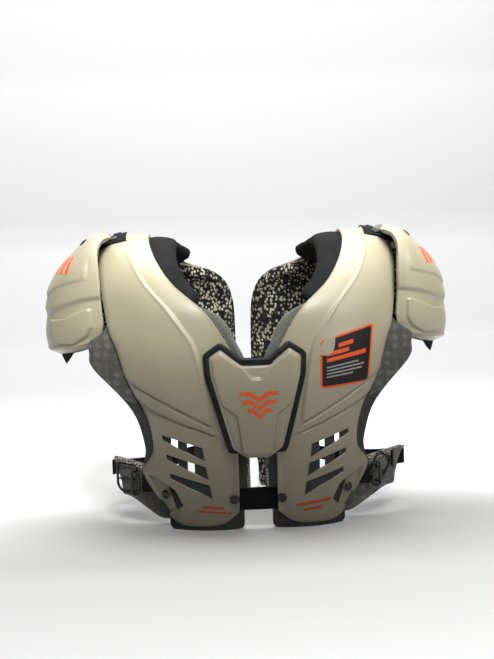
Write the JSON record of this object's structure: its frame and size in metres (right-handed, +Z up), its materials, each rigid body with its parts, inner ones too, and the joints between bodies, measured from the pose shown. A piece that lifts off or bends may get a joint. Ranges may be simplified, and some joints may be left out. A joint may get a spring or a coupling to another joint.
{
  "type": "football shoulder pads",
  "caption": "Youth football shoulder pads: hard shells arching over foam, a sternum plate, shoulder caps and buckled belts.",
  "frame": {"origin": "middle of the part's box in X and Y, on the floor under the pads' feet", "axes": "+X to the viewer's right as seen from the chest side, the chest faces -Y, +Z up; longest along X"},
  "size_m": [0.446, 0.2556, 0.3099],
  "materials": {
    "shell_plastic": "satin moulded plastic, warm grey",
    "pad_fabric": "grey heather fabric over foam",
    "roll_fabric": "smooth black neck padding",
    "webbing": "black woven webbing and elastic",
    "seal_rubber": "black rubber seal",
    "black_hardware": "black buckles and rivets"
  },
  "bodies": {
    "root": {"shell_right": "shell_plastic", "shell_left": "shell_plastic", "cap_right": "shell_plastic", "cap_left": "shell_plastic", "sternum_plate": "shell_plastic", "front_pad_right": "pad_fabric", "front_pad_left": "pad_fabric", "back_pad_right": "pad_fabric", "back_pad_left": "pad_fabric", "cap_pad_right": "pad_fabric", "cap_pad_left": "pad_fabric", "belt_flap_right": "pad_fabric", "belt_flap_left": "pad_fabric", "neck_roll_right": "roll_fabric", "neck_roll_left": "roll_fabric", "cap_strap_right": "webbing", "cap_strap_left": "webbing", "front_strap": "webbing", "belt_right": "webbing", "belt_left": "webbing", "buckle_tab_right": "webbing", "buckle_tab_left": "webbing", "sternum_gasket": "seal_rubber", "inner_rivet_right": "black_hardware", "inner_rivet_left": "black_hardware", "outer_rivet_right": "black_hardware", "outer_rivet_left": "black_hardware", "arch_rivet_1_right": "black_hardware", "arch_rivet_1_left": "black_hardware", "arch_rivet_2_right": "black_hardware", "arch_rivet_2_left": "black_hardware", "cap_rivet_1_right": "black_hardware", "cap_rivet_1_left": "black_hardware", "cap_rivet_2_right": "black_hardware", "cap_rivet_2_left": "black_hardware", "buckle_ring_right": "black_hardware", "buckle_ring_left": "black_hardware", "buckle_loop_right": "black_hardware", "buckle_loop_left": "black_hardware"}
  },
  "joints": []
}
